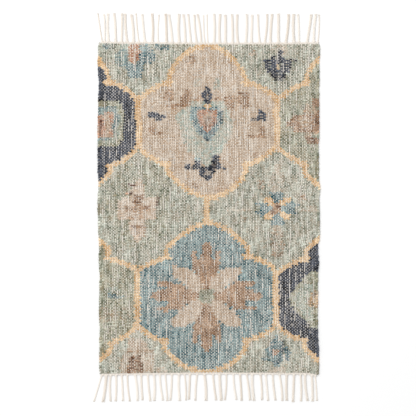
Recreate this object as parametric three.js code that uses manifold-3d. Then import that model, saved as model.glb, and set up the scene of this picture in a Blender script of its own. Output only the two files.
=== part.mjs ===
// A hand-woven jute rug, two feet by three, lying flat: the woven cloth, and at each end a
// strip of cotton heading with the ends of the warp standing out of it as a fringe.
// Millimetres. +X runs across the rug, +Y towards its far end, +Z up, and it rests on Z = 0.
import * as THREE from "three";
import Module from "manifold-3d";
import { mergeVertices } from "three/addons/utils/BufferGeometryUtils.js";

// Driving dimensions of the cloth
const CLOTH_THICKNESS = 6.4;
const SELVEDGE_THICKNESS = 5.2;
const SELVEDGE_ROUNDING = 2.4;
const SELVEDGE_SHOULDER = 9;
const SELVEDGE_LOWER_EDGE = 1.8;
const SELVEDGE_UPPER_EDGE = 3.4;
const SWELL_HEIGHT = 0.7;
const LONG_SWELL = 440;
const MIDDLE_SWELL = 270;
const SHORT_SWELL = 180;
const STEPS_ALONG = 66;
const STEPS_ACROSS = 22;

// How far the two sides stand from the middle line at places along the cloth
const SIDES = [
  { at: -457, left: 298, right: 300 },
  { at: -430, left: 301, right: 304 },
  { at: -365, left: 300, right: 303 },
  { at: -330, left: 300, right: 301 },
  { at: -300, left: 302, right: 299 },
  { at: -260, left: 302, right: 301 },
  { at: -200, left: 300, right: 301 },
  { at: -130, left: 302, right: 303 },
  { at: -100, left: 301, right: 301 },
  { at: -65, left: 304, right: 306 },
  { at: 0, left: 306, right: 305 },
  { at: 35, left: 305, right: 305 },
  { at: 58, left: 304, right: 308 },
  { at: 80, left: 304, right: 303 },
  { at: 100, left: 306, right: 304 },
  { at: 165, left: 305, right: 303 },
  { at: 200, left: 307, right: 304 },
  { at: 265, left: 304, right: 304 },
  { at: 330, left: 303, right: 304 },
  { at: 395, left: 305, right: 305 },
  { at: 430, left: 305, right: 307 },
  { at: 454, left: 299, right: 304 },
];

// Where the cloth ends at places across it: the near right corner hangs a little low
const FAR_END = [
  { at: -305, y: 453 },
  { at: -210, y: 452 },
  { at: 0, y: 450 },
  { at: 230, y: 450.5 },
  { at: 305, y: 451.5 },
];
const NEAR_END = [
  { at: -300, y: -453.5 },
  { at: -210, y: -451.5 },
  { at: 0, y: -449.5 },
  { at: 275, y: -450.5 },
  { at: 292, y: -454 },
  { at: 302, y: -456 },
];

// Driving dimensions of the heading and the fringe
const PARTING_GAP = 0.3;
const HEADING_WIDTH = 5.2;
const HEADING_THICKNESS = 5;
const HEADING_LUMP = 0.5;
const HEADING_STEP = 12;
const LUMP_TURN = 2.1;
const ROOT_DEPTH = 3;
const STRAND_STEPS = 7;
const STRAND_TOP_SHARE = 0.5;
const STRAND_LEAST_HEIGHT = 2.8;
const STRAND_MOST_HEIGHT = 4.4;
const STRAND_HEIGHT_SHARE = 0.62;
const TIP_SHARE = 0.75;
const BOW = 2;
const BOW_TURN = 2.3;

// The heading's section, in shares of its width away from the cloth and of its height
const HEADING_SECTION = [
  { out: 0, up: 0 },
  { out: 0.9, up: 0 },
  { out: 1, up: 0.4 },
  { out: 0.8, up: 1 },
  { out: 0.2, up: 1 },
  { out: 0, up: 0.8 },
];

// The fringe strands from left to right: where each leaves the heading, where its tip lies,
// its width as it lies and how far it reaches
const FAR_STRANDS = [
  { root: -292, tip: -304, width: 4, reach: 78 },
  { root: -286, tip: -287, width: 5, reach: 76 },
  { root: -274, tip: -276, width: 7, reach: 78 },
  { root: -255, tip: -259, width: 7, reach: 79 },
  { root: -239, tip: -238, width: 7, reach: 79 },
  { root: -223, tip: -229, width: 7, reach: 78 },
  { root: -206, tip: -212, width: 8, reach: 76 },
  { root: -191, tip: -199, width: 4, reach: 79 },
  { root: -174, tip: -182, width: 7, reach: 77 },
  { root: -154, tip: -155, width: 7, reach: 79 },
  { root: -138, tip: -136, width: 4, reach: 76 },
  { root: -115, tip: -118, width: 7, reach: 79 },
  { root: -99, tip: -109, width: 7, reach: 77 },
  { root: -80, tip: -81, width: 8, reach: 79 },
  { root: -64, tip: -69, width: 7, reach: 78 },
  { root: -48, tip: -56, width: 6, reach: 79 },
  { root: -32, tip: -39, width: 6, reach: 77 },
  { root: -20, tip: -30, width: 6, reach: 79 },
  { root: -10, tip: -14, width: 4, reach: 76 },
  { root: -2, tip: -4, width: 4, reach: 78 },
  { root: 15, tip: 15, width: 7, reach: 80 },
  { root: 31, tip: 32, width: 7, reach: 79 },
  { root: 46, tip: 46, width: 8, reach: 77 },
  { root: 66, tip: 64, width: 7, reach: 79 },
  { root: 81, tip: 79, width: 7, reach: 78 },
  { root: 102, tip: 105, width: 7, reach: 79 },
  { root: 118, tip: 120, width: 7, reach: 77 },
  { root: 141, tip: 136, width: 6, reach: 78 },
  { root: 154, tip: 161, width: 6, reach: 79 },
  { root: 170, tip: 175, width: 7, reach: 79 },
  { root: 192, tip: 192, width: 8, reach: 80 },
  { root: 212, tip: 220, width: 7, reach: 78 },
  { root: 235, tip: 234, width: 8, reach: 79 },
  { root: 248, tip: 246, width: 6, reach: 78 },
  { root: 270, tip: 282, width: 7, reach: 77 },
  { root: 289, tip: 295, width: 7, reach: 78 },
  { root: 300, tip: 304, width: 4, reach: 76 },
];
const NEAR_STRANDS = [
  { root: -293, tip: -315, width: 5, reach: 72 },
  { root: -281, tip: -290, width: 8, reach: 73 },
  { root: -269, tip: -269, width: 6, reach: 72 },
  { root: -254, tip: -255, width: 6, reach: 72 },
  { root: -239, tip: -235, width: 6, reach: 72 },
  { root: -223, tip: -216, width: 5, reach: 73 },
  { root: -202, tip: -195, width: 7, reach: 72 },
  { root: -185, tip: -181, width: 6, reach: 70 },
  { root: -167, tip: -160, width: 6, reach: 73 },
  { root: -150, tip: -149, width: 7, reach: 72 },
  { root: -134, tip: -125, width: 6, reach: 71 },
  { root: -119, tip: -113, width: 5, reach: 73 },
  { root: -101, tip: -105, width: 6, reach: 72 },
  { root: -81, tip: -79, width: 7, reach: 73 },
  { root: -66, tip: -62, width: 5, reach: 72 },
  { root: -51, tip: -54, width: 6, reach: 70 },
  { root: -31, tip: -36, width: 6, reach: 73 },
  { root: -12, tip: -7, width: 8, reach: 73 },
  { root: 12, tip: 21, width: 6, reach: 72 },
  { root: 30, tip: 35, width: 8, reach: 73 },
  { root: 49, tip: 45, width: 5, reach: 72 },
  { root: 68, tip: 77, width: 6, reach: 71 },
  { root: 86, tip: 91, width: 6, reach: 73 },
  { root: 104, tip: 114, width: 6, reach: 72 },
  { root: 120, tip: 125, width: 8, reach: 73 },
  { root: 142, tip: 147, width: 6, reach: 71 },
  { root: 157, tip: 164, width: 6, reach: 73 },
  { root: 176, tip: 184, width: 6, reach: 72 },
  { root: 194, tip: 203, width: 6, reach: 73 },
  { root: 215, tip: 215, width: 7, reach: 72 },
  { root: 235, tip: 232, width: 7, reach: 76 },
  { root: 252, tip: 254, width: 6, reach: 74 },
  { root: 265, tip: 272, width: 7, reach: 73 },
  { root: 283, tip: 286, width: 7, reach: 72 },
  { root: 293, tip: 298, width: 4, reach: 69 },
];

const jute = new THREE.MeshStandardMaterial({ color: "#a9a390", roughness: 0.92, metalness: 0 });
const cotton = new THREE.MeshStandardMaterial({ color: "#e9e0d6", roughness: 0.9, metalness: 0 });

// Reads a table between two of its rows, easing from one to the next
function between(rows, column, at) {
  const last = rows.length - 1;
  const next = rows.findIndex((row) => row.at > at);
  if (next === 0) return rows[0][column];
  if (next < 0) return rows[last][column];
  const before = rows[next - 1];
  const after = rows[next];
  return THREE.MathUtils.lerp(
    before[column], after[column], THREE.MathUtils.smoothstep(at, before.at, after.at));
}

// Closes a loft: every ring holds the same number of points, in the same order round it
function loftedGeometry(rings) {
  const around = rings[0].length;
  const positions = rings.flat().flatMap((point) => point.toArray());
  const index = [];
  for (let ring = 0; ring + 1 < rings.length; ring++) {
    for (let side = 0; side < around; side++) {
      const here = ring * around + side;
      const beside = ring * around + ((side + 1) % around);
      index.push(here, beside, beside + around, here, beside + around, here + around);
    }
  }
  // An end is closed by a ladder of faces between the lower and the upper half of its ring
  const lastRing = (rings.length - 1) * around;
  for (let step = 0; step + 1 < around - 1 - step; step++) {
    const [low, lowNext, high, highNext] = [step, step + 1, around - 1 - step, around - 2 - step];
    index.push(low, high, lowNext);
    index.push(lastRing + low, lastRing + lowNext, lastRing + high);
    if (lowNext < highNext) {
      index.push(high, highNext, lowNext);
      index.push(lastRing + high, lastRing + lowNext, lastRing + highNext);
    }
  }
  const geometry = new THREE.BufferGeometry();
  geometry.setAttribute("position", new THREE.Float32BufferAttribute(positions, 3));
  geometry.setIndex(index);
  return geometry;
}

// The height of the cloth's upper face: low swells over the whole rug, thinner at the selvedges
function topOf(x, y, fromSide) {
  const turn = 2 * Math.PI;
  const swell = (Math.sin(turn * (x + y) / LONG_SWELL) + Math.sin(turn * (x - y) / MIDDLE_SWELL)
    + Math.sin(turn * y / SHORT_SWELL)) / 3;
  const body = CLOTH_THICKNESS + SWELL_HEIGHT * (swell - 1) / 2;
  const rise = THREE.MathUtils.smoothstep(fromSide, 0, SELVEDGE_SHOULDER);
  return THREE.MathUtils.lerp(SELVEDGE_THICKNESS, body, rise);
}

// The places across the cloth where it has points, closer together towards its sides
function stopsAcross(middleY) {
  const left = -between(SIDES, "left", middleY);
  const right = between(SIDES, "right", middleY);
  const half = (right - left) / 2 - SELVEDGE_ROUNDING;
  return Array.from({ length: STEPS_ACROSS + 1 }, (_, step) =>
    (left + right) / 2 + half * Math.sin(Math.PI * (step / STEPS_ACROSS - 0.5)));
}

// The woven cloth, one ring of points across it for each step along it
function clothGeometry() {
  const rings = [];
  for (let row = 0; row <= STEPS_ALONG; row++) {
    const along = row / STEPS_ALONG;
    const yAt = (x) => THREE.MathUtils.lerp(
      between(NEAR_END, "y", x), between(FAR_END, "y", x), along);
    const place = (x, z) => new THREE.Vector3(x, yAt(x), z);
    const stops = stopsAcross(yAt(0));
    const [first, last] = [stops[0], stops[STEPS_ACROSS]];
    const height = (x) => topOf(x, yAt(0), Math.min(x - first, last - x));
    const lower = [
      place(first - SELVEDGE_ROUNDING, SELVEDGE_LOWER_EDGE),
      ...stops.map((x) => place(x, 0)),
      place(last + SELVEDGE_ROUNDING, SELVEDGE_LOWER_EDGE),
    ];
    const upper = [
      place(first - SELVEDGE_ROUNDING, SELVEDGE_UPPER_EDGE),
      ...stops.map((x) => place(x, height(x))),
      place(last + SELVEDGE_ROUNDING, SELVEDGE_UPPER_EDGE),
    ];
    rings.push([...lower, ...upper.reverse()]);
  }
  return loftedGeometry(rings.reverse());
}

// One strand of the fringe: four-sided, lying on the floor, drawn in a little at its tip
function strandGeometry({ root, tip, width, reach }, rootY, outward, number) {
  const bow = BOW * Math.sin(number * BOW_TURN);
  const fullHeight = THREE.MathUtils.clamp(
    width * STRAND_HEIGHT_SHARE, STRAND_LEAST_HEIGHT, STRAND_MOST_HEIGHT);
  const route = new THREE.CatmullRomCurve3([
    new THREE.Vector3(root, rootY, 0),
    new THREE.Vector3(root, rootY + outward * ROOT_DEPTH, 0),
    new THREE.Vector3(
      (root + tip) / 2 + bow, rootY + outward * (ROOT_DEPTH + reach / 2), 0),
    new THREE.Vector3(tip, rootY + outward * (ROOT_DEPTH + reach), 0),
  ]);
  const rings = [];
  for (let step = 0; step <= STRAND_STEPS; step++) {
    const share = step / STRAND_STEPS;
    const middle = route.getPointAt(share);
    const heading = route.getTangentAt(share);
    const aside = new THREE.Vector3(heading.y, -heading.x, 0);
    const taper = THREE.MathUtils.lerp(1, TIP_SHARE, share ** 3);
    const half = (width / 2) * taper;
    const height = fullHeight * taper;
    rings.push([
      middle.clone().addScaledVector(aside, -half),
      middle.clone().addScaledVector(aside, half),
      middle.clone().addScaledVector(aside, half * STRAND_TOP_SHARE).setZ(height),
      middle.clone().addScaledVector(aside, -half * STRAND_TOP_SHARE).setZ(height),
    ]);
  }
  return loftedGeometry(rings.reverse());
}

// The heading: the few picks and knots of cotton that lock the end of the weave. Its inner
// edge follows the end of the cloth face by face, a parting gap away
function headingGeometry(end, outward, firstRoot, lastRoot) {
  const stops = stopsAcross(between(end, "y", 0));
  const from = Math.max(firstRoot, stops[0]);
  const to = Math.min(lastRoot, stops[STEPS_ACROSS]);
  const edgeAt = (x) => {
    const next = Math.max(1, stops.findIndex((stop) => stop >= x));
    const [before, after] = [stops[next - 1], stops[next]];
    return THREE.MathUtils.mapLinear(
      x, before, after, between(end, "y", before), between(end, "y", after));
  };
  const corners = [from, ...stops.filter((stop) => stop > from && stop < to), to];
  const places = corners.slice(1).flatMap((corner, number) => {
    const start = corners[number];
    const steps = Math.ceil((corner - start) / HEADING_STEP);
    return Array.from({ length: steps }, (_, step) => start + ((corner - start) * step) / steps);
  });
  const rings = [...places, to].map((x, number) => {
    const lump = HEADING_LUMP * Math.sin(number * LUMP_TURN);
    const inner = edgeAt(x) + outward * PARTING_GAP;
    return HEADING_SECTION.map(({ out, up }) => new THREE.Vector3(
      x, inner + outward * (HEADING_WIDTH + lump) * out, (HEADING_THICKNESS + lump / 2) * up));
  });
  return loftedGeometry(outward > 0 ? rings : rings.reverse());
}

const wasm = await Module();
wasm.setup();

function solidOf(geometry) {
  const merged = mergeVertices(geometry);
  return new wasm.Manifold(new wasm.Mesh({
    numProp: 3,
    vertProperties: merged.getAttribute("position").array,
    triVerts: new Uint32Array(merged.index.array),
  }));
}

function geometryOf(solid) {
  const { vertProperties, triVerts } = solid.getMesh();
  const geometry = new THREE.BufferGeometry();
  geometry.setAttribute("position", new THREE.BufferAttribute(vertProperties, 3));
  geometry.setIndex(new THREE.BufferAttribute(triVerts, 1));
  return geometry;
}

// A fringe with its heading: the strands stand apart and join only at their roots
function fringeGeometry(end, outward, strands) {
  const from = strands[0].root - strands[0].width;
  const last = strands[strands.length - 1];
  let solid = solidOf(headingGeometry(end, outward, from, last.root + last.width));
  strands.forEach((strand, number) => {
    const rootY = between(end, "y", strand.root) + outward * (HEADING_WIDTH - ROOT_DEPTH);
    solid = solid.add(solidOf(strandGeometry(strand, rootY, outward, number)));
  });
  return geometryOf(solid);
}

function piece(name, geometry, material) {
  geometry.computeVertexNormals();
  const mesh = new THREE.Mesh(geometry, material);
  mesh.name = name;
  return mesh;
}

const rug = new THREE.Group();
rug.add(
  piece("field", clothGeometry(), jute),
  piece("fringe_far", fringeGeometry(FAR_END, 1, FAR_STRANDS), cotton),
  piece("fringe_near", fringeGeometry(NEAR_END, -1, NEAR_STRANDS), cotton),
);

// The origin is the middle of the whole rug's own footprint, on the floor
const middle = new THREE.Box3().setFromObject(rug).getCenter(new THREE.Vector3());
rug.position.set(-middle.x, -middle.y, 0);

export default rug;
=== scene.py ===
from collections import namedtuple

import bmesh
import bpy
import numpy as np
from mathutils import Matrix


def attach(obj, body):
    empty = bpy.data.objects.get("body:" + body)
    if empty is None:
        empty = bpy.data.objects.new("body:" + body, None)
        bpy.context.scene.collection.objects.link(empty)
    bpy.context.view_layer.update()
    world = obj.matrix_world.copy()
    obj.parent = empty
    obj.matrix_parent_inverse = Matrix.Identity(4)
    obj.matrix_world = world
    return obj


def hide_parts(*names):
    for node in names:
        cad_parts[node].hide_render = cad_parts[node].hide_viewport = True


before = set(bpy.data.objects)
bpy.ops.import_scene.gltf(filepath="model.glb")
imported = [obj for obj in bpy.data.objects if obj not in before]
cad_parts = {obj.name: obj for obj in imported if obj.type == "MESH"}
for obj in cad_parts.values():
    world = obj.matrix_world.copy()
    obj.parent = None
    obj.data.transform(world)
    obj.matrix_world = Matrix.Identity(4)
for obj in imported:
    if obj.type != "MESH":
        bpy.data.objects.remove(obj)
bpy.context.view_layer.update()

# The warp: cream cotton cords strung on the loom side by side, from end to end of the rug.
# The jute is woven over and under them. Here and there a cord runs on top of the jute for a
# while and shows as a pale line down the rug.
MM = 0.001
WARPS = 131
PICKS = 232
SELVEDGE_TURN = 2.2
WARP_WIDTH = 3.0
WARP_HEIGHT = 1.9
WARP_LEVEL = 3.3
SIDE_LINE_HEIGHT = 1.8
TOLERANCE = 0.1
END_ROW_DEPTH = 10
SLEY_SPREAD = 0.24
BEAT_SPREAD = 0.14
DRIFT_LENGTH = 900
DRIFT_WIDTH = 600
WARP_DRIFT = 1.5
PICK_DRIFT = 0.7
BARE_WARPS = 0.5
BARE_STRETCHES = 1.4
BARE_RISE = 0.25
BARE_WIDTH = 0.2
BARE_LIMITS = (-1.2, 1.6)
EDGE_WARPS = 2
FLOATING_WARPS = 0.85
FIRST_FLOAT = 70
FLOAT_PICKS = (8, 52)
FLOAT_GAPS = (20, 120)
FLOAT_SHARE = 0.5
FLOAT_RISE = 0.8
FLOAT_WIDTH = 2.3
WARP_TAIL = 1.6
WARP_SLUBS = 0.12
WARP_TONE = 0.3
WARP_TONE_DRIFT = 0.5
WARP_TONE_NOISE = 0.1
YARN_CORNERS = 5
LANE_FILL = 0.95
COTTON = "#F0E9E0"
COTTON_SHADE = "#E2D7C9"

rng = np.random.default_rng(41)


def linear(colour):
    """The linear red, green and blue of an sRGB hex colour."""
    value = np.array([int(colour[place:place + 2], 16) / 255 for place in (1, 3, 5)])
    return np.where(value <= 0.04045, value / 12.92, ((value + 0.055) / 1.055) ** 2.4)


def mixed(first, second, share):
    """A colour between two, for each share in an array."""
    share = np.asarray(share)[..., None]
    return first * (1 - share) + second * share


def edge_line(points, along, outward):
    """One edge of the cloth's solid: places along it, and how far out it lies at each."""
    line = np.unique(points[:, [along, outward]].round(3), axis=0)
    return line[:, 0], line[:, 1]


cloth = np.array([point.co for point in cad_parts["field"].data.vertices]) / MM
cloth_low, cloth_high = cloth.min(axis=0), cloth.max(axis=0)
cloth_middle = (cloth_low + cloth_high) / 2
on_side = np.abs(cloth[:, 2] - SIDE_LINE_HEIGHT) < TOLERANCE
on_floor = cloth[:, 2] < TOLERANCE
left_edge = edge_line(cloth[on_side & (cloth[:, 0] < 0)], 1, 0)
right_edge = edge_line(cloth[on_side & (cloth[:, 0] > 0)], 1, 0)
far_edge = edge_line(cloth[on_floor & (cloth[:, 1] > cloth_high[1] - END_ROW_DEPTH)], 0, 1)
near_edge = edge_line(cloth[on_floor & (cloth[:, 1] < cloth_low[1] + END_ROW_DEPTH)], 0, 1)


def on_cloth(across, along, inset=SELVEDGE_TURN):
    """The place, in mm, at these shares of the cloth's width and length."""
    middle_near = np.interp(cloth_middle[0], *near_edge)
    middle_far = np.interp(cloth_middle[0], *far_edge)
    y = middle_near + (middle_far - middle_near) * along
    left = np.interp(y, *left_edge) + inset
    right = np.interp(y, *right_edge) - inset
    x = left + (right - left) * across
    near, far = np.interp(x, *near_edge), np.interp(x, *far_edge)
    return x, near + (far - near) * along


def drift(rows, places, lengths, amount):
    """A slow random drift for each row along its places: the mean of waves of these lengths."""
    phases = rng.uniform(0, 2 * np.pi, (len(lengths), rows, 1))
    waves = [np.sin(2 * np.pi * places / length + phase) for length, phase in zip(lengths, phases)]
    return amount * np.mean(waves, axis=0)


sley = rng.uniform(1 - SLEY_SPREAD, 1 + SLEY_SPREAD, WARPS)
beat = rng.uniform(1 - BEAT_SPREAD, 1 + BEAT_SPREAD, PICKS)
warp_share = (np.cumsum(sley) - sley / 2) / sley.sum()
pick_share = (np.cumsum(beat) - beat / 2) / beat.sum()
warp_pitch = (cloth_high[0] - cloth_low[0] - 2 * SELVEDGE_TURN) / WARPS
pick_pitch = (cloth_high[1] - cloth_low[1]) / PICKS
along_mm, across_mm = pick_share * DRIFT_LENGTH, warp_share * DRIFT_WIDTH
plain_x, plain_y = on_cloth(warp_share[None, :], pick_share[:, None])
cross_x = plain_x + drift(WARPS, along_mm, (21, 38, 74, 131, 290), WARP_DRIFT).T
cross_y = plain_y + drift(PICKS, across_mm, (43, 107, 240), PICK_DRIFT)

# Where a warp floats on top of the jute: stretches of 8 to 51 picks, never on two warps
# side by side, with about half of its crossings still covered
floats = np.zeros((PICKS, WARPS), bool)
for warp in range(EDGE_WARPS, WARPS - EDGE_WARPS):
    if rng.random() > FLOATING_WARPS:
        continue
    pick = int(rng.integers(0, FIRST_FLOAT))
    while pick < PICKS:
        length = int(rng.integers(*FLOAT_PICKS))
        stretch = slice(pick, pick + length)
        if not floats[stretch, warp - 1].any():
            floats[stretch, warp] = True
        pick += length + int(rng.integers(*FLOAT_GAPS))
floats &= rng.random(floats.shape) < FLOAT_SHARE

# How bare each warp lies: on a bare stretch the cord stands higher and the jute over it is
# thinner, which gives the cloth its fine pale lines
bareness = np.clip(rng.normal(0, BARE_WARPS, (WARPS, 1))
                   + drift(WARPS, along_mm, (73, 167, 390), BARE_STRETCHES), *BARE_LIMITS)

Yarns = namedtuple("Yarns", "rings colours lane_steps lane_height")


def rings_round(middle, wide, high, width, height, corners):
    """Rings of corners round a yarn, from its middle, its two directions and its two sizes."""
    turn = np.pi / 2 + 2 * np.pi * np.arange(corners)[:, None] / corners
    across = np.cos(turn) * (width / 2)[..., None, None] * wide[..., None, :]
    upright = np.sin(turn) * (height / 2)[..., None, None] * high[..., None, :]
    return middle[..., None, :] + across + upright


def yarn_piece(name, groups):
    """One mesh of many closed yarns, joined from arrays. A yarn's colour is kept ring by
    ring, and its own map unrolls it in lanes, each lane a stretch of so many steps."""
    lanes_high = sum(
        group.rings.shape[0] * (group.rings.shape[1] - 1) // group.lane_steps * group.lane_height
        for group in groups)
    points, colours, faces, map_points = [], [], [], []
    first_corner, lane_foot = 0, 0.0
    for group in groups:
        yarns, steps, around, _ = group.rings.shape
        start = first_corner + around * np.arange(yarns * steps).reshape(yarns, steps)
        side = np.arange(around)
        after = (side + 1) % around
        here, there = start[:, :-1, None], start[:, 1:, None]
        quads = np.stack([here + side, here + after, there + after, there + side], axis=-1)
        step = np.arange(steps - 1)
        lanes_each = (steps - 1) // group.lane_steps
        lane = np.arange(yarns)[:, None] * lanes_each + step // group.lane_steps
        left = np.broadcast_to((step % group.lane_steps) / group.lane_steps, lane.shape)[..., None]
        right = left + 1 / group.lane_steps
        foot = lane_foot + group.lane_height * (lane[..., None] + LANE_FILL * side / around)
        head = foot + group.lane_height * LANE_FILL / around
        left, right = np.broadcast_to(left, foot.shape), np.broadcast_to(right, foot.shape)
        unrolled = np.stack([
            np.stack([left, foot], axis=-1), np.stack([left, head], axis=-1),
            np.stack([right, head], axis=-1), np.stack([right, foot], axis=-1)], axis=-2)
        unrolled[..., 1] /= lanes_high
        caps = np.concatenate([start[:, :1] + side[::-1], start[:, -1:] + side])
        cap_lane = np.concatenate([lane[:, 0], lane[:, -1]])
        cap_foot = (lane_foot + group.lane_height * cap_lane) / lanes_high
        cap_map = np.stack([
            np.repeat([0.0, 1.0], yarns)[:, None] * np.ones(around),
            cap_foot[:, None] + LANE_FILL * group.lane_height / lanes_high * side / around],
            axis=-1)
        faces += quads.reshape(-1, 4).tolist() + caps.tolist()
        map_points += [unrolled.reshape(-1, 2), cap_map.reshape(-1, 2)]
        points.append(group.rings.reshape(-1, 3))
        colours.append(np.repeat(group.colours.reshape(-1, 3), around, axis=0))
        first_corner += yarns * steps * around
        lane_foot += group.lane_height * (lane.max() + 1)
    mesh = bpy.data.meshes.new(name)
    mesh.from_pydata(np.concatenate(points) * MM, [], faces)
    dyed = np.ones((first_corner, 4), np.float32)
    dyed[:, :3] = np.concatenate(colours)
    mesh.color_attributes.new("yarn_colour", "FLOAT_COLOR", "POINT")
    mesh.color_attributes["yarn_colour"].data.foreach_set("color", dyed.ravel())
    mesh.uv_layers.new(name="OFBake")
    mesh.uv_layers["OFBake"].data.foreach_set("uv", np.concatenate(map_points).ravel())
    mesh.shade_smooth()
    piece = bpy.data.objects.new(name, mesh)
    bpy.context.collection.objects.link(piece)
    return piece


def node(material, kind, settings, links):
    """Adds a node. Settings are its own values or its sockets', links go from others to it."""
    made = material.node_tree.nodes.new(kind)
    for key, value in settings.items():
        if isinstance(key, str) and hasattr(made, key):
            setattr(made, key, value)
        else:
            made.inputs[key].default_value = value
    for key, (other, output) in links.items():
        material.node_tree.links.new(other.outputs[output], made.inputs[key])
    return made


def spun_yarn(name, fibre, relief, contrast, roughness, sheen):
    """A spun yarn in its own colours: fine fibres along it, a little lighter and darker.
    Fibre is the size of a fibre's streak in mm along X, Y and Z."""
    material = bpy.data.materials.new(name)
    material.use_nodes = True
    material.node_tree.nodes.clear()
    places = node(material, "ShaderNodeTexCoord", {}, {})
    scale = [1 / (size * MM) for size in fibre]
    streaks = node(material, "ShaderNodeMapping", {"Scale": scale}, {"Vector": (places, "Object")})
    fibres = node(material, "ShaderNodeTexNoise", {"Scale": 1.0, "Detail": 3.0, "Roughness": 0.6},
                  {"Vector": (streaks, "Vector")})
    dyed = node(material, "ShaderNodeAttribute", {"attribute_name": "yarn_colour"}, {})
    shade = node(material, "ShaderNodeMapRange",
                 {"From Min": 0.3, "From Max": 0.7,
                  "To Min": 1 - contrast, "To Max": 1 + contrast},
                 {"Value": (fibres, "Fac")})
    tinted = node(material, "ShaderNodeVectorMath", {"operation": "SCALE"},
                  {0: (dyed, "Color"), "Scale": (shade, "Result")})
    bump = node(material, "ShaderNodeBump", {"Strength": 0.6, "Distance": relief * MM},
                {"Height": (fibres, "Fac")})
    shader = node(material, "ShaderNodeBsdfPrincipled",
                  {"Roughness": roughness, "Specular IOR Level": 0.2, "Sheen Weight": sheen,
                   "Sheen Roughness": 0.5},
                  {"Base Color": (tinted, "Vector"), "Normal": (bump, "Normal")})
    node(material, "ShaderNodeOutputMaterial", {}, {"Surface": (shader, "BSDF")})
    return material


# Carded cotton, ring spun and loosely plied: matt and soft, with fine fibres along the cord
warp_cotton = spun_yarn(
    "spun_cotton_warp", fibre=(0.3, 5, 0.3), relief=0.12, contrast=0.07, roughness=0.9, sheen=0.1)

stops = np.arange(0, PICKS, 2)
riding = (floats[stops] + 0.5 * (floats[stops - 1] + floats[np.minimum(stops + 1, PICKS - 1)])) / 2
warp_middle = np.stack([
    cross_x[stops], cross_y[stops],
    WARP_LEVEL + BARE_RISE * bareness[:, stops].T + FLOAT_RISE * riding], axis=-1)
for end, outward in ((0, -1), (-1, 1)):
    warp_middle[end, :, 1] += outward * (WARP_TAIL + pick_pitch / 2)
warp_middle[-1, :, 1] += pick_pitch
warp_middle = warp_middle.swapaxes(0, 1)
leftward = np.broadcast_to([-1.0, 0, 0], warp_middle.shape)
upward = np.broadcast_to([0, 0, 1.0], warp_middle.shape)
slub = (1 + drift(WARPS, along_mm[stops], (23, 51, 97), WARP_SLUBS)
        + BARE_WIDTH * bareness[:, stops])
warp_rings = rings_round(
    warp_middle, leftward, upward,
    slub * (WARP_WIDTH + (FLOAT_WIDTH - WARP_WIDTH) * riding.T),
    slub * WARP_HEIGHT, YARN_CORNERS)
warp_shade = np.clip(WARP_TONE
                     + drift(WARPS, along_mm[stops], (31, 83, 190), WARP_TONE_DRIFT)
                     + rng.normal(0, WARP_TONE_NOISE, (WARPS, len(stops))), 0, 1)
warp_colours = mixed(linear(COTTON), linear(COTTON_SHADE), warp_shade)
warp = yarn_piece("warp", [Yarns(warp_rings, warp_colours, len(stops) - 1, 1)])
warp.data.materials.append(warp_cotton)
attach(warp, "root")

# The weft: one thick jute strand after another, each woven over one warp and under the next
# and turned back round the last warp at the selvedge. The weaver changes to a yarn of another
# dye wherever the pattern does, two picks at a time, which makes its stepped outlines.
WEFT_WIDTH = 4.4
WEFT_HEIGHT = 2.5
MIDDLE_LEVEL = 3.2
WEFT_LIFT = 2.05
PLATEAU = 0.22
BANDS = 4
CLOTH_THICKNESS = 6.4
REST_LEVEL = 0.05
SWELL_HEIGHT = 0.7
SWELLS = (440, 270, 180)
EDGE_COVER = 1.45
LAP_CONTRAST = 0.05
# How far the covered warp takes on its neighbour's dye: rubbed dye and painted shade in one
WARP_STAIN_AND_SHADE = 0.55
BARE_THINNING = 0.14
LOOP_NOISE = 0.45
LEVEL_NOISE = 0.1
FULLNESS_NOISE = 0.14
FULLNESS_DRIFT = 0.1
FULLNESS_LIMITS = (0.66, 1.6)
HEIGHT_LIMITS = (0.9, 1.04)

# Each dye as it takes on the jute: its deep shade, its pale one, and the tone it wears to
DYES = {
    "gold": ("#C79B64", "#FCE2BE", "#DCBC90"),
    "taupe": ("#B49C83", "#E4D8C9", "#C4A88C"),
    "sage": ("#717968", "#DCE0D3", "#B4A189"),
    "olive": ("#636953", "#CDCFBD", "#AA997A"),
    "blue": ("#295862", "#B1C5C4", "#828A88"),
    "navy": ("#0D111A", "#696F7C", "#252A34"),
    "brown": ("#74563F", "#D3B59A", "#AE8664"),
    "aqua": ("#8DA69E", "#CFD8CE", "#B4AE9C"),
    "terracotta": ("#925F48", "#E0B79E", "#B98662"),
    "umber": ("#4A332C", "#8F7264", "#6E5546"),
    "cream": ("#D9CDBF", "#F4EDE4", "#DCCAB2"),
}
DYE_SHADES = {name: np.array([linear(shade) for shade in shades]) for name, shades in DYES.items()}

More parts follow.
